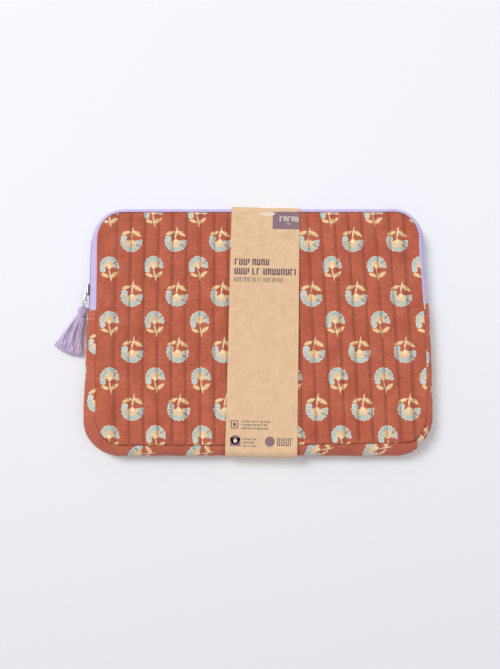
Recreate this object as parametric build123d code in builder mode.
from build123d import *
import os
from math import cos, radians, sin

# A quilted cotton laptop sleeve, closed by a zip and held in a cardboard belly band.
# It lies flat: +X runs along its length, +Y towards the zip edge and +Z up through its thickness.
# The origin is under the middle of the sleeve, on the plane that the band's rear wall rests on.
# All sizes are in millimetres.

# Sleeve outline
sleeve_length = 355.0  # left to right over the gusset
sleeve_height = 257.0  # bottom edge to zip edge over the gusset
corner_radius = 38.0  # outer outline, at the gusset's widest line
seam_inset = 9.5  # from the outline in to the front and rear seams

# Layers, from the resting plane up
board = 0.5  # belly band
board_gap = 0.3  # band to stitching
thread = 0.25  # quilting thread standing on the cloth
shell_cloth = 0.5
wadding = 5.0
lining_cloth = 0.5
pocket_depth = 8.6

# Quilting
quilt_pitch = 14.15
quilt_lines = 22
quilt_offset = 2.8  # the middle of the pattern, right of the sleeve's middle
quilt_margin = 3.0  # from the seam to a line's end
thread_width = 0.6

# Gusset and the bound seam allowances inside it
gusset_cloth = 0.5
gusset_layer_gap = 0.2
gusset_lining_cloth = 0.4
binding_width = 1.2
binding_height = 3.4
binding_drop = 1.7  # below the face of the shell cloth

# Zip
zip_end = 23.0  # the zip runs over the top from this height on the left to the same on the right
zip_inset = 2.0  # from the outline in to the tape
tape = 0.5
tape_flat = 1.0  # level run from the seam to where the tape rolls over the edge
coil_width = 2.2
coil_height = 1.5
chain_gap = 1.2  # between the two halves of the coil, for the slider's wedge
end_stitch_drop = 12.0  # from the zip's end down to the row of topstitching
end_stitch_reach = 7.0  # in from the outline and up the gusset

# Mouth: the front folds back along this line, above the parked slider
fold_line = 54.0
fold_gap = 0.4

# Slider
slider_place = 42.5  # middle of the parked slider
slider_length = 12.0
slider_width = 8.0
slider_plate = 0.8
slider_corner = 1.8
slider_clearance = 0.3  # plates and wedge to the coil
wedge_length = 3.0
ear_thickness = 0.9
ear_reach = 0.9  # past the middle of the pivot bar
bar_radius = 0.5
pivot_drop = 0.5  # from the slider's middle down to the pivot

# Pull tab and jump ring
pull_angle = -9.0  # at rest, turned outwards from straight down
pull_length = 9.4  # pivot to the middle of the ring hole
pull_width = 4.4
pull_thickness = 1.0
barrel_radius = 1.2
barrel_bore_clearance = 0.07
barrel_end_gap = 0.3
barrel_face_gap = 0.25  # barrel to the slider's outer plate
ring_hole_radius = 1.1
ring_hole_wall = 0.7
ring_radius = 2.6
ring_wire_radius = 0.6

# Tassel, lying on the resting plane and turning about the jump ring
tassel_angle = -19.2
tassel_lift = 0.2  # underside above the resting plane
head_radius = 5.3
head_distance = 9.6  # from the ring's middle
head_cut = 4.4  # from the head's middle to its flat end
neck_radius = 3.4
neck_length = 3.0
skirt_length = 40.0
skirt_neck_width = 6.4
skirt_neck_thickness = 5.6
skirt_end_width = 31.0
skirt_end_thickness = 8.0
loop_cord_radius = 0.5
loop_radius = 1.6
loop_reach = 5.0  # from the ring's wire to the loop's lower end

# Belly band
band_width = 71.5
band_place = 6.4  # middle of the band, right of the sleeve's middle
band_skew = -1.2  # turned about +Z
band_end_gap = 1.4  # sleeve outline to the band's inner face
band_corner = 8.0
lap_gap = 0.3
lap_low = 6.0  # the front end of the board comes down to here at the top edge
lap_high = 14.0  # the rear end of the board comes up to here inside it

# Levels
rear_thread_z = board + board_gap
rear_cloth_z = rear_thread_z + thread
rear_wadding_z = rear_cloth_z + shell_cloth
rear_lining_z = rear_wadding_z + wadding
pocket_z = rear_lining_z + lining_cloth
front_lining_z = pocket_z + pocket_depth
front_wadding_z = front_lining_z + lining_cloth
front_cloth_z = front_wadding_z + wadding
front_face_z = front_cloth_z + shell_cloth
band_front_z = front_face_z + thread + board_gap
band_top_z = band_front_z + board
middle_z = (rear_cloth_z + front_face_z) / 2

# Plan sizes
panel_length = sleeve_length - 2 * seam_inset
panel_height = sleeve_height - 2 * seam_inset
panel_radius = corner_radius - seam_inset
left_edge = -sleeve_length / 2
bottom_edge = -sleeve_height / 2

below_fold = Plane((0, fold_line - fold_gap / 2, 0), x_dir=(1, 0, 0), z_dir=(0, 1, 0))
above_fold = Plane((0, fold_line + fold_gap / 2, 0), x_dir=(1, 0, 0), z_dir=(0, 1, 0))


def panel_outline():
    RectangleRounded(panel_length, panel_height, panel_radius)


def ring_outline(inset, width):
    """A ring that follows the sleeve's outline, from inset to inset + width inside it."""
    for step, mode in ((inset, Mode.ADD), (inset + width, Mode.SUBTRACT)):
        RectangleRounded(sleeve_length - 2 * step, sleeve_height - 2 * step, corner_radius - step, mode=mode)


def quilt_rows():
    """Sewn lines from the bottom seam to the top one, with the panel's middle at the origin."""
    with Locations((quilt_offset, 0)):
        with GridLocations(quilt_pitch, 0, quilt_lines, 1):
            Rectangle(thread_width, panel_height - 2 * quilt_margin)


# ---------------------------------------------------------------- rear panel
with BuildPart() as rear_panel_cloth:
    with BuildSketch(Plane.XY.offset(rear_cloth_z)):
        panel_outline()
    extrude(amount=shell_cloth)

with BuildPart() as rear_wadding:
    with BuildSketch(Plane.XY.offset(rear_wadding_z)):
        panel_outline()
    extrude(amount=wadding)

with BuildPart() as rear_lining:
    with BuildSketch(Plane.XY.offset(rear_lining_z)):
        panel_outline()
    extrude(amount=lining_cloth)

with BuildPart() as rear_quilting_thread:
    with BuildSketch(Plane.XY.offset(rear_thread_z)):
        quilt_rows()
    extrude(amount=thread)

# ------------------------------------- front panel, fixed part below the fold
with BuildPart() as front_panel_cloth:
    with BuildSketch(Plane.XY.offset(front_cloth_z)):
        panel_outline()
    extrude(amount=shell_cloth)
    split(bisect_by=below_fold, keep=Keep.BOTTOM)

with BuildPart() as front_wadding:
    with BuildSketch(Plane.XY.offset(front_wadding_z)):
        panel_outline()
    extrude(amount=wadding)
    split(bisect_by=below_fold, keep=Keep.BOTTOM)

with BuildPart() as front_lining:
    with BuildSketch(Plane.XY.offset(front_lining_z)):
        panel_outline()
    extrude(amount=lining_cloth)
    split(bisect_by=below_fold, keep=Keep.BOTTOM)

with BuildPart() as front_quilting_thread:
    with BuildSketch(Plane.XY.offset(front_face_z)):
        quilt_rows()
    extrude(amount=thread)
    split(bisect_by=below_fold, keep=Keep.BOTTOM)

# ---------------------------------- front panel, mouth flap above the fold
with BuildPart() as mouth_flap_cloth:
    with BuildSketch(Plane.XY.offset(front_cloth_z)):
        panel_outline()
    extrude(amount=shell_cloth)
    split(bisect_by=above_fold, keep=Keep.TOP)

with BuildPart() as mouth_flap_wadding:
    with BuildSketch(Plane.XY.offset(front_wadding_z)):
        panel_outline()
    extrude(amount=wadding)
    split(bisect_by=above_fold, keep=Keep.TOP)

with BuildPart() as mouth_flap_lining:
    with BuildSketch(Plane.XY.offset(front_lining_z)):
        panel_outline()
    extrude(amount=lining_cloth)
    split(bisect_by=above_fold, keep=Keep.TOP)

with BuildPart() as mouth_flap_quilting_thread:
    with BuildSketch(Plane.XY.offset(front_face_z)):
        quilt_rows()
    extrude(amount=thread)
    split(bisect_by=above_fold, keep=Keep.TOP)

# ------------------------------------------------------------------- gusset
# Sections are drawn at the left end of the zip: local x points in from the outline, local y up.
edge_section = Plane((left_edge, zip_end, 0), x_dir=(1, 0, 0), z_dir=(0, -1, 0))
half_bulge = (front_face_z - rear_cloth_z) / 2
bulge_radius = (half_bulge**2 + seam_inset**2) / (2 * seam_inset)


def bulge_band(outer_inset, thickness):
    """The section of a cloth that bulges from the rear seam out to the outline and back to the front one."""
    for step, mode in ((outer_inset, Mode.ADD), (outer_inset + thickness, Mode.SUBTRACT)):
        with BuildLine() as section:
            reach = bulge_radius - step
            half = (reach**2 - (bulge_radius - seam_inset) ** 2) ** 0.5
            low = (seam_inset, middle_z - half)
            high = (seam_inset, middle_z + half)
            ThreePointArc(low, (step, middle_z), high)
            Line(high, low)
        make_face(section.edges(), mode=mode)


def lower_edge():
    """The sleeve's outline from the left end of the zip round the bottom to the right end."""
    with BuildLine() as route:
        FilletPolyline(
            (left_edge, zip_end),
            (left_edge, bottom_edge),
            (-left_edge, bottom_edge),
            (-left_edge, zip_end),
            radius=corner_radius,
        )
    return route.wire()


def upper_edge():
    """The sleeve's outline from the left end of the zip over the top to the right end."""
    with BuildLine() as route:
        FilletPolyline(
            (left_edge, zip_end),
            (left_edge, -bottom_edge),
            (-left_edge, -bottom_edge),
            (-left_edge, zip_end),
            radius=corner_radius,
        )
    return route.wire()


with BuildPart() as gusset_shell:
    with BuildSketch(edge_section):
        bulge_band(0, gusset_cloth)
    sweep(path=lower_edge())

with BuildPart() as gusset_lining:
    with BuildSketch(edge_section):
        bulge_band(gusset_cloth + gusset_layer_gap, gusset_lining_cloth)
    sweep(path=lower_edge())

with BuildPart() as gusset_end_stitching:
    with BuildSketch(edge_section.offset(end_stitch_drop)):
        bulge_band(-thread, thread)
        with Locations((seam_inset / 2, middle_z + half_bulge / 2)):
            Rectangle(end_stitch_reach, end_stitch_reach, mode=Mode.INTERSECT)
    extrude(amount=thread_width)
    mirror(about=Plane.YZ)

# ---------------------------------------------- bound seam allowances inside
binding_inset = seam_inset - binding_width

with BuildPart() as rear_seam_binding:
    with BuildSketch(Plane.XY.offset(rear_cloth_z + binding_drop)):
        ring_outline(binding_inset, binding_width)
    extrude(amount=binding_height)

with BuildPart() as front_seam_binding:
    with BuildSketch(Plane.XY.offset(front_face_z - binding_drop)):
        ring_outline(binding_inset, binding_width)
    extrude(amount=-binding_height)
    split(bisect_by=below_fold, keep=Keep.BOTTOM)

with BuildPart() as mouth_flap_seam_binding:
    with BuildSketch(Plane.XY.offset(front_face_z - binding_drop)):
        ring_outline(binding_inset, binding_width)
    extrude(amount=-binding_height)
    split(bisect_by=above_fold, keep=Keep.TOP)

# ---------------------------------------------------------------------- zip
tape_roll = seam_inset - zip_inset - tape_flat
tape_edge = chain_gap / 2 + coil_height  # from the middle of the zip to a tape's edge
coil_inset = zip_inset + tape / 2 - coil_width / 2


def tape_section(side):
    """One tape's section: side is 1 for the front tape and -1 for the rear one."""
    face = middle_z + side * half_bulge
    edge = middle_z + side * tape_edge
    turn = face - side * tape_roll
    corner = 0.5**0.5
    with BuildLine() as section:
        Line((seam_inset, face), (zip_inset + tape_roll, face))
        outer_mid = (zip_inset + tape_roll * (1 - corner), turn + side * tape_roll * corner)
        ThreePointArc((zip_inset + tape_roll, face), outer_mid, (zip_inset, turn))
        Line((zip_inset, turn), (zip_inset, edge))
        Line((zip_inset, edge), (zip_inset + tape, edge))
        Line((zip_inset + tape, edge), (zip_inset + tape, turn))
        inner_roll = tape_roll - tape
        inner_mid = (zip_inset + tape_roll - inner_roll * corner, turn + side * inner_roll * corner)
        ThreePointArc((zip_inset + tape, turn), inner_mid, (zip_inset + tape_roll, face - side * tape))
        Line((zip_inset + tape_roll, face - side * tape), (seam_inset, face - side * tape))
        Line((seam_inset, face - side * tape), (seam_inset, face))
    make_face(section.edges())


def coil_half(side):
    """One half of the coil as a plain bar round the whole outline, face to face with its tape."""
    with BuildSketch(Plane.XY.offset(middle_z + side * chain_gap / 2)) as plan:
        ring_outline(coil_inset, coil_width)
    extrude(plan.sketch, amount=side * coil_height)
    split(bisect_by=Plane((0, zip_end, 0), x_dir=(1, 0, 0), z_dir=(0, 1, 0)), keep=Keep.TOP)


with BuildPart() as rear_zip_tape:
    with BuildSketch(edge_section):
        tape_section(-1)
    sweep(path=upper_edge())

with BuildPart() as rear_zip_coil:
    coil_half(-1)

with BuildPart() as front_zip_tape_ends:
    with BuildSketch(edge_section):
        tape_section(1)
    sweep(path=upper_edge())
    split(bisect_by=below_fold, keep=Keep.BOTTOM)

with BuildPart() as front_zip_coil_ends:
    coil_half(1)
    split(bisect_by=below_fold, keep=Keep.BOTTOM)

with BuildPart() as front_zip_tape:
    with BuildSketch(edge_section):
        tape_section(1)
    sweep(path=upper_edge())
    split(bisect_by=above_fold, keep=Keep.TOP)

with BuildPart() as front_zip_coil:
    coil_half(1)
    split(bisect_by=above_fold, keep=Keep.TOP)

# ------------------------------------------------------------------- slider
coil_outer_x = left_edge + coil_inset
coil_inner_x = coil_outer_x + coil_width
plate_outer_x = coil_outer_x - slider_clearance - slider_plate
plate_inner_x = coil_inner_x + slider_clearance
pivot_x = plate_outer_x - barrel_face_gap - barrel_radius
pivot_y = slider_place - pivot_drop
barrel_length = pull_width - 2 * (ear_thickness + barrel_end_gap)
bar_half = barrel_length / 2 + barrel_end_gap

with BuildPart() as slider_body:
    for plate_x in (plate_outer_x, plate_inner_x):
        with BuildSketch(Plane((plate_x, slider_place, middle_z), x_dir=(0, 1, 0), z_dir=(1, 0, 0))):
            RectangleRounded(slider_length, slider_width, slider_corner)
        extrude(amount=slider_plate)
    wedge_y = slider_place - slider_length / 2 + wedge_length / 2 + slider_corner
    with Locations(((plate_outer_x + plate_inner_x + slider_plate) / 2, wedge_y, middle_z)):
        Box(
            plate_inner_x - plate_outer_x,
            wedge_length,
            chain_gap - 2 * slider_clearance,
        )
    for side in (-1, 1):
        with BuildSketch(Plane.XY.offset(middle_z + side * bar_half)):
            with Locations(((plate_outer_x + pivot_x - ear_reach) / 2, pivot_y)):
                Rectangle(plate_outer_x - pivot_x + ear_reach, 2 * ear_reach)
        extrude(amount=side * ear_thickness)
    with BuildSketch(Plane.XY.offset(middle_z - bar_half)):
        with Locations((pivot_x, pivot_y)):
            Circle(bar_radius)
    extrude(amount=2 * bar_half)

# ------------------------------------------------------ pull tab and jump ring
pull_down = radians(pull_angle)
pull_way = Vector(sin(pull_down), -cos(pull_down), 0)
pivot = Vector(pivot_x, pivot_y, middle_z)
ring_hole = pivot + pull_way * pull_length
ring_middle = pivot + pull_way * (pull_length + ring_radius)
pull_plan = Plane(pivot, x_dir=pull_way, z_dir=(0, 0, 1))

with BuildPart() as pull_tab:
    with BuildSketch(pull_plan.offset(-barrel_length / 2)):
        Circle(barrel_radius)
    extrude(amount=barrel_length)
    blade_length = pull_length + ring_hole_radius + ring_hole_wall
    with BuildSketch(pull_plan.offset(-barrel_length / 2)):
        with Locations((blade_length / 2, 0)):
            Rectangle(blade_length, pull_thickness)
    extrude(amount=barrel_length)
    blade_start = ear_reach + barrel_end_gap + bar_radius
    with BuildSketch(pull_plan.offset(-pull_width / 2)):
        with Locations(((blade_start + blade_length) / 2, 0)):
            Rectangle(blade_length - blade_start, pull_thickness)
    extrude(amount=pull_width)
    with BuildSketch(pull_plan.offset(-barrel_length / 2)):
        Circle(bar_radius + barrel_bore_clearance)
    extrude(amount=barrel_length, mode=Mode.SUBTRACT)
    across = pull_way.cross(Vector(0, 0, 1))
    with BuildSketch(Plane(ring_hole - across * pull_thickness, x_dir=pull_way, z_dir=across)):
        Circle(ring_hole_radius)
    extrude(amount=2 * pull_thickness, mode=Mode.SUBTRACT)

with BuildPart() as jump_ring:
    with Locations(Plane(ring_middle, x_dir=pull_way, z_dir=(0, 0, 1))):
        Torus(ring_radius, ring_wire_radius)

# ------------------------------------------------------------------- tassel
tassel_down = radians(tassel_angle)
tassel_way = Vector(sin(tassel_down), -cos(tassel_down), 0)
head_z = tassel_lift + head_radius
head_middle = Vector(ring_middle.X, ring_middle.Y, head_z) + tassel_way * head_distance
neck_start = head_middle + tassel_way * head_cut
skirt_start = neck_start + tassel_way * neck_length
skirt_end = skirt_start + tassel_way * skirt_length
skirt_end = Vector(skirt_end.X, skirt_end.Y, tassel_lift + skirt_end_thickness / 2)


def across_tassel(place):
    """A plane across the tassel: local x is level and local y points up."""
    return Plane(place, x_dir=tassel_way.cross(Vector(0, 0, -1)), z_dir=tassel_way)


with BuildPart() as tassel_head:
    with Locations(head_middle):
        Sphere(head_radius)
    split(bisect_by=across_tassel(neck_start), keep=Keep.BOTTOM)

with BuildPart() as tassel_neck_binding:
    with BuildSketch(across_tassel(neck_start)):
        Circle(neck_radius)
    extrude(amount=neck_length)

with BuildPart() as tassel_skirt:
    with BuildSketch(across_tassel(skirt_start)):
        Ellipse(skirt_neck_width / 2, skirt_neck_thickness / 2)
    with BuildSketch(across_tassel(skirt_end)):
        Ellipse(skirt_end_width / 2, skirt_end_thickness / 2)
    loft()

with BuildPart() as tassel_loop:
    wire_place = ring_middle + tassel_way * ring_radius
    loop_low = head_middle + (wire_place - head_middle) * 0.45
    loop_way = (loop_low - wire_place).normalized()
    loop_side = tassel_way.cross(Vector(0, 0, 1))
    loop_plane = Plane(wire_place + loop_way * (loop_reach / 2), x_dir=loop_way, z_dir=loop_side)
    with BuildLine(loop_plane) as loop_route:
        half = loop_reach / 2
        Line((-half, loop_radius), (half, loop_radius))
        ThreePointArc((half, loop_radius), (half + loop_radius, 0), (half, -loop_radius))
        Line((half, -loop_radius), (-half, -loop_radius))
        ThreePointArc((-half, -loop_radius), (-half - loop_radius, 0), (-half, loop_radius))
    with BuildSketch(Plane(loop_route.wire() @ 0, z_dir=loop_route.wire() % 0)):
        Circle(loop_cord_radius)
    sweep(path=loop_route.wire())
    with Locations(head_middle):
        Sphere(head_radius, mode=Mode.SUBTRACT)

# --------------------------------------------------------------- belly band
# The board's section is drawn on a plane through the band's middle: local x is along the sleeve's
# height and local y is up.
skew = radians(band_skew)
band_across = Vector(cos(skew), sin(skew), 0)
band_along = Vector(-sin(skew), cos(skew), 0)
band_section = Plane((band_place, 0, 0), x_dir=band_along, z_dir=band_across)
band_reach = sleeve_height / 2 + band_end_gap + board
lap_reach = band_reach - board - lap_gap


def board_loop(top_reach):
    """The board as a whole loop, with its top end top_reach from the middle."""
    with BuildSketch(band_section) as section:
        with Locations(((top_reach - band_reach) / 2, band_top_z / 2)):
            for step, mode in ((0, Mode.ADD), (board, Mode.SUBTRACT)):
                RectangleRounded(
                    band_reach + top_reach - 2 * step,
                    band_top_z - 2 * step,
                    band_corner - step,
                    mode=mode,
                )
    extrude(section.sketch, amount=band_width / 2, both=True)


def zone_above(start, level, mode):
    """Everything of the band above the given level and past start towards the zip edge."""
    with Locations((band_place, start + band_reach, level + band_top_z)):
        Box(2 * band_width, 2 * band_reach, 2 * band_top_z, mode=mode)


with BuildPart() as band_wrap:
    board_loop(lap_reach)
    zone_above(fold_line - fold_gap / 2, lap_high, Mode.SUBTRACT)

with BuildPart() as band_front_top:
    board_loop(band_reach)
    zone_above(fold_line + fold_gap / 2, lap_low, Mode.INTERSECT)

# ------------------------------------------------------------------- export
pieces = {
    "rear_panel_cloth": rear_panel_cloth,
    "rear_wadding": rear_wadding,
    "rear_lining": rear_lining,
    "rear_quilting_thread": rear_quilting_thread,
    "front_panel_cloth": front_panel_cloth,
    "front_wadding": front_wadding,
    "front_lining": front_lining,
    "front_quilting_thread": front_quilting_thread,
    "mouth_flap_cloth": mouth_flap_cloth,
    "mouth_flap_wadding": mouth_flap_wadding,
    "mouth_flap_lining": mouth_flap_lining,
    "mouth_flap_quilting_thread": mouth_flap_quilting_thread,
    "gusset_shell": gusset_shell,
    "gusset_lining": gusset_lining,
    "gusset_end_stitching": gusset_end_stitching,
    "rear_seam_binding": rear_seam_binding,
    "front_seam_binding": front_seam_binding,
    "mouth_flap_seam_binding": mouth_flap_seam_binding,
    "rear_zip_tape": rear_zip_tape,
    "rear_zip_coil": rear_zip_coil,
    "front_zip_tape_ends": front_zip_tape_ends,
    "front_zip_coil_ends": front_zip_coil_ends,
    "front_zip_tape": front_zip_tape,
    "front_zip_coil": front_zip_coil,
    "slider_body": slider_body,
    "pull_tab": pull_tab,
    "jump_ring": jump_ring,
    "tassel_loop": tassel_loop,
    "tassel_head": tassel_head,
    "tassel_neck_binding": tassel_neck_binding,
    "tassel_skirt": tassel_skirt,
    "band_wrap": band_wrap,
    "band_front_top": band_front_top,
}

os.makedirs("parts", exist_ok=True)
for name, piece in pieces.items():
    piece.part.label = name
    export_step(piece.part, f"parts/{name}.step")

print("pivot", tuple(pivot), "ring", tuple(ring_middle), "fold", (0, fold_line, band_top_z))
